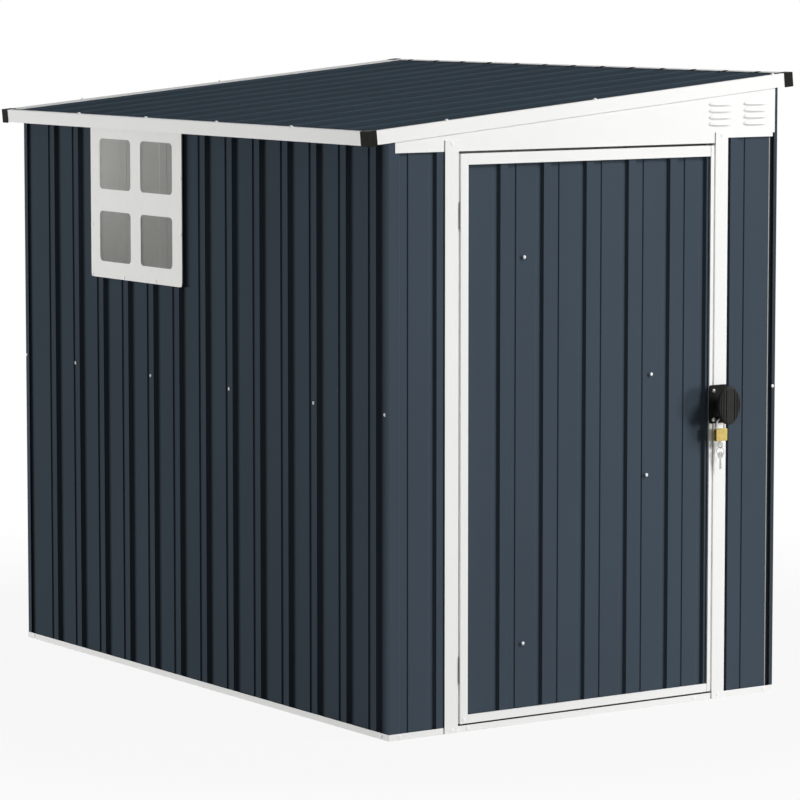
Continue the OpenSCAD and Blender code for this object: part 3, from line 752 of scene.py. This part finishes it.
class SHED_OT_stage(bpy.types.Operator):
    """Sets the floor, the lamps, the sky and the camera"""

    bl_idname = "shed.stage"
    bl_label = "Stage"

    def execute(self, context):
        scene = context.scene
        settings = scene.shed_stage
        scene.view_settings.view_transform = "Standard"

        world = bpy.data.worlds.new("Pale studio")
        world.use_nodes = True
        tree = world.node_tree
        tree.nodes.clear()
        seen = self.seen_directly(tree)
        strength = add(
            tree,
            "ShaderNodeMapRange",
            {"To Min": settings.sky, "To Max": 1.0},
            {"Value": seen},
        )
        sky = add(
            tree,
            "ShaderNodeBackground",
            {"Color": (1, 1, 1, 1)},
            {"Strength": strength.outputs[0]},
        )
        add(tree, "ShaderNodeOutputWorld", links={"Surface": sky.outputs[0]})
        scene.world = world

        floor_material, tree, output = new_material("Pale studio floor")
        matt = add(tree, "ShaderNodeBsdfDiffuse", {"Color": linear("#969696")})
        white = add(tree, "ShaderNodeEmission", {"Color": (1, 1, 1, 1), "Strength": 1.0})
        # The floor keeps the shed's soft shadow, and turns fully white from 1.6 m to 3.2 m away. Inside
        # the walls it stays grey, so that the gap under the door is dark.
        place = add(tree, "ShaderNodeTexCoord").outputs["Object"]
        away = add(tree, "ShaderNodeVectorMath", links={0: place}, operation="LENGTH")
        white_share = add(
            tree,
            "ShaderNodeMapRange",
            {"From Min": 1.6, "From Max": 3.2, "To Min": 0.92, "To Max": 1.0},
            {"Value": away.outputs["Value"]},
        )
        outdoors = add(
            tree,
            "ShaderNodeMath",
            {1: 1.0},
            {0: self.part_of_room(tree, place)},
            operation="GREATER_THAN",
        )
        white_outdoors = add(
            tree,
            "ShaderNodeMath",
            links={0: white_share.outputs[0], 1: outdoors.outputs[0]},
            operation="MULTIPLY",
        )
        share = add(
            tree,
            "ShaderNodeMath",
            links={0: self.seen_directly(tree), 1: white_outdoors.outputs[0]},
            operation="MULTIPLY",
        )
        surface = add(
            tree,
            "ShaderNodeMixShader",
            links={0: share.outputs[0], 1: matt.outputs[0], 2: white.outputs[0]},
        )
        tree.links.new(surface.outputs[0], output.inputs["Surface"])
        bm = bmesh.new()
        bmesh.ops.create_grid(bm, x_segments=1, y_segments=1, size=60)
        floor = bpy.data.objects.new("floor", mesh_from(bm, "floor"))
        floor.data.materials.append(floor_material)
        scene.collection.objects.link(floor)

        aim = Vector((0, 0, 0.85))
        self.lamp("key_lamp", aim, (0.52, -0.65, 0.55), 14, (4.5, 4.5), settings.key_power)
        fill = self.lamp(
            "fill_lamp", aim, (0.74, -0.66, 0.06), 14, (3.0, 3.0), settings.fill_power
        )
        side = self.lamp(
            "side_lamp", aim, (-0.36, 0.93, -0.016), 25, (9.0, 0.8), settings.side_power
        )
        # The two low lamps only light the shed. Seen in its gloss they would veil whole walls.
        fill.visible_glossy = side.visible_glossy = False
        self.room_lamp(settings.room_power)

        data = bpy.data.cameras.new("camera")
        data.sensor_width = 36
        data.lens = 175.85
        data.shift_y = -0.05
        data.clip_end = 200
        camera = bpy.data.objects.new("camera", data)
        camera.location = (-6.4125, -9.4888, 2.053)
        camera.rotation_euler = (math.pi / 2 - 0.1001, 0, -0.5979)
        scene.collection.objects.link(camera)
        scene.camera = camera
        return {"FINISHED"}

    @staticmethod
    def part_of_room(tree, place):
        """Under 1 on the ground inside the shed's walls, and over 1 outside them."""
        within = 20 * MM
        size = add(tree, "ShaderNodeVectorMath", links={0: place}, operation="ABSOLUTE")
        parts = add(
            tree,
            "ShaderNodeVectorMath",
            {1: (HIGH_X - within, BACK_Y - within, 1.0)},
            {0: size.outputs[0]},
            operation="DIVIDE",
        )
        each = add(tree, "ShaderNodeSeparateXYZ", links={0: parts.outputs[0]})
        larger = add(
            tree,
            "ShaderNodeMath",
            links={0: each.outputs["X"], 1: each.outputs["Y"]},
            operation="MAXIMUM",
        )
        return larger.outputs[0]

    @staticmethod
    def seen_directly(tree):
        """1 for rays from the camera, and for those that gloss and glass send on."""
        path = add(tree, "ShaderNodeLightPath")
        gloss = add(
            tree,
            "ShaderNodeMath",
            links={0: path.outputs["Is Camera Ray"], 1: path.outputs["Is Glossy Ray"]},
            operation="MAXIMUM",
        )
        return add(
            tree,
            "ShaderNodeMath",
            links={0: gloss.outputs[0], 1: path.outputs["Is Transmission Ray"]},
            operation="MAXIMUM",
        ).outputs[0]

    @staticmethod
    def lamp(name, aim, way, distance, size, power):
        """An oval soft lamp, of a width and height, that looks at the aim from a way off."""
        data = bpy.data.lights.new(name, "AREA")
        data.shape = "ELLIPSE"
        data.size, data.size_y = size
        data.energy = power
        lamp = bpy.data.objects.new(name, data)
        lamp.location = aim + Vector(way).normalized() * distance
        lamp.rotation_euler = (aim - lamp.location).to_track_quat("-Z", "Y").to_euler()
        lamp.visible_camera = False
        bpy.context.scene.collection.objects.link(lamp)
        return lamp

    @staticmethod
    def room_lamp(power):
        """A soft lamp in the room, so that its walls show through the hazy pane."""
        data = bpy.data.lights.new("room_lamp", "POINT")
        data.energy = power
        data.shadow_soft_size = 0.12
        lamp = bpy.data.objects.new("room_lamp", data)
        lamp.location = (-0.45, 0.55, 1.5)
        lamp.visible_camera = lamp.visible_glossy = lamp.visible_transmission = False
        bpy.context.scene.collection.objects.link(lamp)


class SHED_OT_finishes(bpy.types.Operator):
    """Makes every finish of the shed"""

    bl_idname = "shed.finishes"
    bl_label = "Finishes"

    def execute(self, context):
        colours = context.scene.shed_finish
        wall, long_wall_shaded = tuple(colours.wall), tuple(colours.long_wall_shaded)
        sheet = {"shift": 0.04, "roughness": 0.65, "specular": 0.03}
        dull_sheet = {"shift": 0.04, "roughness": 0.7, "specular": 0.0}
        # The numbers after a colour are its shift, the roughness and the specular level.
        made = [
            coated_steel("Powder coat, front sheets", wall, **sheet, outward=OUT),
            coated_steel("Powder coat, back sheets", wall, **sheet, outward=BACK),
            # The long walls take the darker colour: painted shade on what is the same coat as the door
            # wall's.
            coated_steel("Powder coat with painted shade, low side sheets", long_wall_shaded, **dull_sheet, outward=LEFT),
            coated_steel("Powder coat with painted shade, high side sheets", long_wall_shaded, **dull_sheet, outward=RIGHT),
            coated_steel("Powder coat, inner frame", wall, **sheet),
            coated_steel("Powder coat, roof sheets", tuple(colours.roof), **dull_sheet, outward=UP),
            coated_steel("Powder coat, white trims", tuple(colours.trim), 0.012, 0.5, 0.06),
            moulded_plastic("Moulded ABS, white", linear("#F2F2EF"), 0.01, 0.5, 0.06),
            moulded_plastic("Moulded ABS, black", tuple(colours.moulding), 0.08, 0.55, 0.03),
            moulded_plastic("Moulded nylon, black", linear("#343432"), 0.08, 0.5, 0.04),
            hazy_pane("Hazy acrylic", linear("#ABABA5"), linear("#989894"), alpha=0.26),
            bare_metal("Drawn brass", linear("#D9C378"), linear("#C9B167"), 0.36, (1, 1, 0.08)),
            bare_metal("Zinc-plated steel", linear("#DCDDDD"), linear("#BFC1C2"), 0.3, (0.1, 0.1, 1)),
            bare_metal("Nickel-plated brass", linear("#C8C9C7"), linear("#B0B2B1"), 0.3, (1, 1, 0.1)),
            coated_steel("Powder coat, screw heads", linear("#FAFAF9"), 0.01, 0.3, 0.5),
            # The hinges' pale grey is painted shade: it stands for the grey lines of shade along the
            # white hinges.
            coated_steel("Powder coat, hinges, grey as painted shade", linear("#B9B8B1"), 0.02, 0.45, 0.1),
            coated_steel("Back coat, folded edge", linear("#A9AAA6"), 0.02, 0.6, 0.05),
            # The foam is near black partly as painted shade: it stands for the dark of the shaded gaps
            # under the high trim's lip.
            moulded_plastic("Closed-cell foam, black as painted shade", linear("#0B0C0D"), 0.1, 0.9, 0.0, grain_mm=2.5),
        ]
        for finish in made:
            MATERIALS[finish.name] = finish
        return {"FINISHED"}


class SHED_OT_sheets(bpy.types.Operator):
    """Finishes the ribbed wall, roof and door sheets and the frame behind them"""

    bl_idname = "shed.sheets"
    bl_label = "Sheets"

    def execute(self, context):
        coats = {
            "Powder coat, front sheets": ["front_wall_left", "front_wall_right", "door_panel"],
            "Powder coat, back sheets": ["back_wall"],
            "Powder coat with painted shade, low side sheets": [
                "left_wall_front",
                "left_wall_under_window",
                "left_wall_back",
            ],
            "Powder coat with painted shade, high side sheets": ["right_wall"],
            "Powder coat, roof sheets": ["roof_sheet_front", "roof_sheet_middle", "roof_sheet_back"],
            "Powder coat, inner frame": [
                "corner_posts",
                "mid_rails",
                "top_rail_left",
                "top_rail_right",
                "top_rail_front",
                "top_rail_back",
                "roof_beams",
            ],
            "Powder coat, white trims": ["door_brace_upper", "door_brace_lower"],
        }
        for finish, nodes in coats.items():
            for node in nodes:
                paint(node, finish)
        return {"FINISHED"}


class SHED_OT_trims(bpy.types.Operator):
    """Rounds the folds of the white rails, jambs, trims and door frame, and of the black caps"""

    bl_idname = "shed.trims"
    bl_label = "Rails, jambs, trims and caps"

    def execute(self, context):
        fold = context.scene.shed_fittings.fold_radius
        for node in (
            "base_rail_front",
            "base_rail_back",
            "base_rail_left",
            "base_rail_right",
            "door_jamb_hinge",
            "door_jamb_latch",
            "eave_trim_low",
            "eave_trim_high",
            "gable_trim_front",
            "gable_trim_back",
            "door_stile_hinge",
            "door_stile_latch",
            "door_rail_top",
            "door_rail_bottom",
        ):
            rounded_copy(node, node + "_folded", "Powder coat, white trims", fold)
        for node in ("gable_front", "gable_back"):
            paint(node, "Powder coat, white trims")
        rounded_copy(
            "corner_caps",
            "corner_caps_moulded",
            "Moulded ABS, black",
            radius=0.45 * MM,
        )
        return {"FINISHED"}


class SHED_OT_window(bpy.types.Operator):
    """Makes the window's moulded frame and its hazy pane"""

    bl_idname = "shed.window"
    bl_label = "Window"

    def execute(self, context):
        rounded_copy(
            "window_frame",
            "window_frame_moulded",
            "Moulded ABS, white",
            radius=0.7 * MM,
        )
        paint("window_pane", "Hazy acrylic")
        return {"FINISHED"}


class SHED_OT_louvres(bpy.types.Operator):
    """Presses the louvre hoods into both gable panels"""

    bl_idname = "shed.louvres"
    bl_label = "Louvres"

    def execute(self, context):
        tree = louvre_tree()
        coat = {"Material": made_finish("Powder coat, white trims")}
        # The two groups' middles, and in a group the lowest hood's foot, the step up and the count.
        middles = 1114.5, 1238
        lowest, step, count = 1616.2, 18.5, 4
        for name, y, way in (
            ("louvre_hoods_front", FRONT_Y - PROUD, OUT),
            ("louvre_hoods_back", BACK_Y + PROUD, BACK),
        ):
            points = [
                ((from_low(x), y, (lowest + step * k) * MM), way)
                for x in middles
                for k in range(count)
            ]
            grown(name, tree, points, coat, "shed")
        return {"FINISHED"}


class SHED_OT_hinges(bpy.types.Operator):
    """Gives the two hinges a pale grey coat. The grey is painted shade, so that the white hinges show as
    grey lines along the door's edge.
    """

    bl_idname = "shed.hinges"
    bl_label = "Hinges"

    def execute(self, context):
        paint("hinge_jamb_leaves", "Powder coat, hinges, grey as painted shade")
        paint("hinge_door_leaves", "Powder coat, hinges, grey as painted shade")
        return {"FINISHED"}


class SHED_OT_latch(bpy.types.Operator):
    """Makes the black latch plate and its ridged oval knob"""

    bl_idname = "shed.latch"
    bl_label = "Latch"

    def execute(self, context):
        rounded_copy(
            "latch_plate",
            "latch_plate_moulded",
            "Moulded ABS, black",
            radius=0.6 * MM,
        )
        knob = self.knob(context.scene.shed_fittings.knob_ridge)
        piece = new_piece("latch_knob_moulded", knob, "Moulded nylon, black", "knob")
        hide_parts("latch_knob")
        return {"FINISHED"}

    @staticmethod
    def knob(groove_depth):
        """An oval head with a flat middle band between upright grooves, on a round neck."""
        low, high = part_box("latch_knob")
        middle = (low + high) / 2
        half = (high - low) / 2
        # The head: its thickness, its rounded rim's depth and start, and its back's size.
        thick, rim, rim_from, back_share = 0.016, 0.007, 0.8, 0.9
        grooves, groove_half = (0.0145, 0.0235, 0.0315), 0.0018
        neck, sunk = 0.014, 0.002
        columns, rows = 160, 36
        bm = bmesh.new()

        def groove(x):
            nearest = min(abs(abs(x) - place) for place in grooves)
            return groove_depth * max(0.0, 1 - nearest / groove_half)

        def spot(i, j, face):
            s = -math.cos(math.pi * i / columns)
            t = 2 * j / rows - 1
            x = half.x * s
            z = half.z * math.sqrt(max(0.0, 1 - s * s)) * math.sin(math.pi * t / 2)
            if face == "back":
                return Vector((x * back_share, low.y + thick, z * back_share))
            away = math.sqrt((x / half.x) ** 2 + (z / half.z) ** 2)
            edge = max(0.0, away - rim_from) / (1 - rim_from)
            fall = rim * (1 - math.sqrt(max(0.0, 1 - edge * edge)))
            return Vector((x, low.y + fall + groove(x) * (1 - edge), z))

        rims = []
        for face in ("front", "back"):
            grid = [[bm.verts.new(spot(i, j, face)) for j in range(rows + 1)] for i in range(columns + 1)]
            for i in range(columns):
                for j in range(rows):
                    corners = [grid[i][j], grid[i + 1][j], grid[i + 1][j + 1], grid[i][j + 1]]
                    bm.faces.new(corners if face == "front" else corners[::-1])
            rims.append(
                [grid[i][0] for i in range(columns + 1)]
                + [grid[i][rows] for i in range(columns - 1, 0, -1)]
            )
        front_rim, back_rim = rims
        for k in range(len(front_rim)):
            n = (k + 1) % len(front_rim)
            bm.faces.new((front_rim[k], front_rim[n], back_rim[n], back_rim[k]))
        bmesh.ops.remove_doubles(bm, verts=bm.verts, dist=SAME_PLACE)
        neck_from, neck_to = low.y + thick - sunk, high.y
        bmesh.ops.create_cone(
            bm,
            cap_ends=True,
            segments=32,
            radius1=neck,
            radius2=neck,
            depth=neck_to - neck_from,
            matrix=Matrix.Translation((0, (neck_to + neck_from) / 2, 0))
            @ Matrix.Rotation(math.pi / 2, 4, "X"),
        )
        bmesh.ops.translate(bm, verts=bm.verts, vec=(middle.x, 0, middle.z))
        return mesh_from(bm, "latch_knob", smooth=True)


class SHED_OT_padlock(bpy.types.Operator):
    """Makes the brass padlock, its shackle, and the keys on their ring"""

    bl_idname = "shed.padlock"
    bl_label = "Padlock and keys"

    def execute(self, context):
        rounded_copy(
            "padlock_body",
            "padlock_body_cast",
            "Drawn brass",
            radius=1.2 * MM,
            segments=3,
        )
        paint("padlock_shackle", "Zinc-plated steel")
        rounded_copy(
            "keys",
            "keys_cut",
            "Nickel-plated brass",
            radius=0.25 * MM,
            segments=1,
        )
        return {"FINISHED"}


class SHED_OT_screws(bpy.types.Operator):
    """Puts the white screws in the walls, trims, window and door, and the steel ones in the latch"""

    bl_idname = "shed.screws"
    bl_label = "Screws"

    def execute(self, context):
        sizes = context.scene.shed_fittings
        white, zinc = "Powder coat, screw heads", "Zinc-plated steel"
        sheet = self.screw(sizes.screw_radius, 0.0018, 0.0004, 0.0006, white)
        truss = self.screw(sizes.truss_radius, 0.0007, 0.0002, 0.0002, white)
        roof = self.screw(sizes.roof_screw_radius, 0.0032, 0.0015, 0.0014, white)
        latch = self.screw(0.0042, 0.0024, 0.0018, 0.001, zinc)
        tree = screw_tree()
        grown("wall_screws", tree, self.in_walls(), sheet, "shed")
        grown("trim_screws", tree, self.in_trims(), truss, "shed")
        grown("roof_screws", tree, self.in_roof_trims(), roof, "shed")

        panel_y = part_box("door_panel")[0].y
        places = (443, 1276), (879, 933), (864, 653), (442, 221.5)
        points = [((from_low(x), panel_y, z * MM), OUT) for x, z in places]
        grown("door_screws", tree, points, sheet, "door")
        frame_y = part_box("door_rail_top")[0].y
        places = (1085.5, 1548), (241, 33)
        points = [((from_low(x), frame_y, z * MM), OUT) for x, z in places]
        grown("door_frame_screws", tree, points, truss, "door")
        plate_y = FRONT_Y - 11 * MM
        points = [((from_low(1090), plate_y, z * MM), OUT) for z in (875, 794)]
        grown("latch_screws", tree, points, latch, "door")
        return {"FINISHED"}

    @staticmethod
    def screw(radius, dome, washer_rim, washer, finish):
        """One kind of screw: its head's radius and height, its washer's rim and height, its finish."""
        return {
            "Head Radius": radius,
            "Head Height": dome,
            "Washer Radius": radius + washer_rim,
            "Washer Height": washer,
            "Material": made_finish(finish),
        }

    @staticmethod
    def in_walls():
        """One row round the walls, at the middle rails' height."""
        z = 874.5 * MM
        points = [((from_low(1311), FRONT_Y, z), OUT)]
        for y in (19, 365, 801, 1233, 1673, 1974):
            points.append(((LOW_X, from_front(y), z), LEFT))
            points.append(((HIGH_X, from_front(y), z), RIGHT))
        for x in (20, 440, 880, 1300):
            points.append(((from_low(x), BACK_Y, z), BACK))
        return points

    @staticmethod
    def in_trims():
        """At the jambs' ends, along the base rails and round the window frame."""
        jamb_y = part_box("door_jamb_hinge")[0].y
        points = [((from_low(x), jamb_y, z * MM), OUT) for x in (202, 1119) for z in (1588, 9)]
        rail_z = 8.5 * MM
        for x in (33, 257, 1037, 1288):
            points.append(((from_low(x), FRONT_Y - PROUD, rail_z), OUT))
            points.append(((from_low(x), BACK_Y + PROUD, rail_z), BACK))
        for y in (36, 1944):
            points.append(((LOW_X - PROUD, from_front(y), rail_z), LEFT))
            points.append(((HIGH_X + PROUD, from_front(y), rail_z), RIGHT))
        window_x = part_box("window_frame")[0].x
        for y, z in (
            (1560.6, 1454.6),
            (1560.6, 1295.7),
            (1056.6, 1453.8),
            (1056.6, 1296),
            (1378.6, 1149.5),
            (1197.6, 1151),
            (1560.6, 1149),
            (1054.6, 1149.7),
        ):
            points.append(((window_x, from_front(y), z * MM), LEFT))
        return points

    @staticmethod
    def in_roof_trims():
        """Along the lips of the low eave trim and of the two gable trims."""
        in_lip = 7 * MM
        points = [(on_roof(in_lip, from_front(y)), ROOF_UP) for y in (373, 758, 1142, 1526)]
        front_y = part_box("gable_trim_front")[0].y + in_lip
        back_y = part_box("gable_trim_back")[1].y - in_lip
        for y, places in ((front_y, (186, 679, 1302)), (back_y, (203, 700))):
            for x in places:
                up_slope = (x * MM + LOW_OVERHANG) / math.cos(ROOF_SLOPE)
                points.append((on_roof(up_slope, y), ROOF_UP))
        return points


class SHED_OT_closures(bpy.types.Operator):
    """Fills the gaps under the high trim's lip with black foam closures. Their black is partly painted
    shade, standing for the dark of those shaded gaps.
    """

    bl_idname = "shed.closures"
    bl_label = "Foam closures, dark as shade"

    def execute(self, context):
        tree = closure_tree()
        # The foam's near black is partly a real closure and partly painted shade for the shaded gaps
        # under the lip.
        foam = made_finish("Closed-cell foam, black as painted shade")
        roof_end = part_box("eave_trim_high")[1].x - LOW_X + LOW_OVERHANG
        lip_edge = roof_end / math.cos(ROOF_SLOPE) - HIGH_LIP
        channels, pitch = 13, 145.3 * MM
        first = from_front(134.7)

        # A plug stands in the nearer half of its channel and bulges out from under the lip.
        bulge, nearer, plug_sunk = 8 * MM, 12.5 * MM, 3.2 * MM
        plugs = [
            (on_roof(lip_edge - bulge, first + k * pitch - nearer, -plug_sunk), ROOF_RUN)
            for k in range(channels)
        ]
        grown("foam_plugs_and_shade", tree, plugs, {"Material": foam}, "shed")

        # A strip lies on the pan between two channels, wholly under the lip.
        under, farther, strip_sunk, strip = 2 * MM, 5 * MM, 2.25 * MM, 66.5 * MM
        strips = [
            (on_roof(lip_edge + under, first + (k + 0.5) * pitch + farther, -strip_sunk), ROOF_RUN)
            for k in range(channels - 1)
        ]
        sizes = {
            "Foot Width": strip,
            "Top Width": strip,
            "Height": 2.3 * MM,
            "Length": 12 * MM,
            "Material": foam,
        }
        grown("foam_strips_and_shade", tree, strips, sizes, "shed")
        return {"FINISHED"}


class SHED_OT_hem(bpy.types.Operator):
    """Folds a narrow hem, back coat outwards, at the right end of the door wall's sheet"""

    bl_idname = "shed.hem"
    bl_label = "Hem"

    def execute(self, context):
        low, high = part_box("front_wall_right")
        wide, thick, behind, top_z = 3 * MM, 0.6 * MM, 5.5 * MM, 1590 * MM
        radius, turns = thick / 2, 6
        middle_y = FRONT_Y + behind - radius
        outline = []
        for centre, start in ((high.x - radius, -math.pi / 2), (high.x - wide + radius, math.pi / 2)):
            for k in range(turns + 1):
                angle = start + math.pi * k / turns
                outline.append((centre + radius * math.cos(angle), middle_y + radius * math.sin(angle)))
        bm = bmesh.new()
        ends = [[bm.verts.new((x, y, z)) for x, y in outline] for z in (low.z, top_z)]
        for k in range(len(outline)):
            n = (k + 1) % len(outline)
            bm.faces.new((ends[0][k], ends[0][n], ends[1][n], ends[1][k]))
        bm.faces.new(ends[0][::-1])
        bm.faces.new(ends[1])
        mesh = mesh_from(bm, "wall_hem")
        new_piece("wall_hem", mesh, "Back coat, folded edge", "shed")
        return {"FINISHED"}


class SHED_PT_panel(bpy.types.Panel):
    """Lists the shed's settings and steps"""

    bl_label = "Shed"
    bl_idname = "SHED_PT_panel"
    bl_space_type = "VIEW_3D"
    bl_region_type = "UI"
    bl_category = "Shed"

    def draw(self, context):
        scene = context.scene
        for group in (scene.shed_finish, scene.shed_fittings, scene.shed_stage):
            box = self.layout.box()
            for name in group.__annotations__:
                box.prop(group, name)
        for step in STEPS:
            self.layout.operator(step.bl_idname)


GROUPS = (ShedFinish, ShedFittings, ShedStage)
STEPS = (
    SHED_OT_stage,
    SHED_OT_finishes,
    SHED_OT_sheets,
    SHED_OT_trims,
    SHED_OT_window,
    SHED_OT_louvres,
    SHED_OT_hinges,
    SHED_OT_latch,
    SHED_OT_padlock,
    SHED_OT_screws,
    SHED_OT_closures,
    SHED_OT_hem,
)


def register():
    for cls in (*GROUPS, *STEPS, SHED_PT_panel):
        bpy.utils.register_class(cls)
    bpy.types.Scene.shed_finish = PointerProperty(type=ShedFinish)
    bpy.types.Scene.shed_fittings = PointerProperty(type=ShedFittings)
    bpy.types.Scene.shed_stage = PointerProperty(type=ShedStage)


def unregister():
    del bpy.types.Scene.shed_stage
    del bpy.types.Scene.shed_fittings
    del bpy.types.Scene.shed_finish
    for cls in reversed((*GROUPS, *STEPS, SHED_PT_panel)):
        bpy.utils.unregister_class(cls)


def main():
    """Runs every step in order."""
    register()
    for step in STEPS:
        area, name = step.bl_idname.split(".")
        getattr(getattr(bpy.ops, area), name)()


if __name__ == "__main__":
    main()
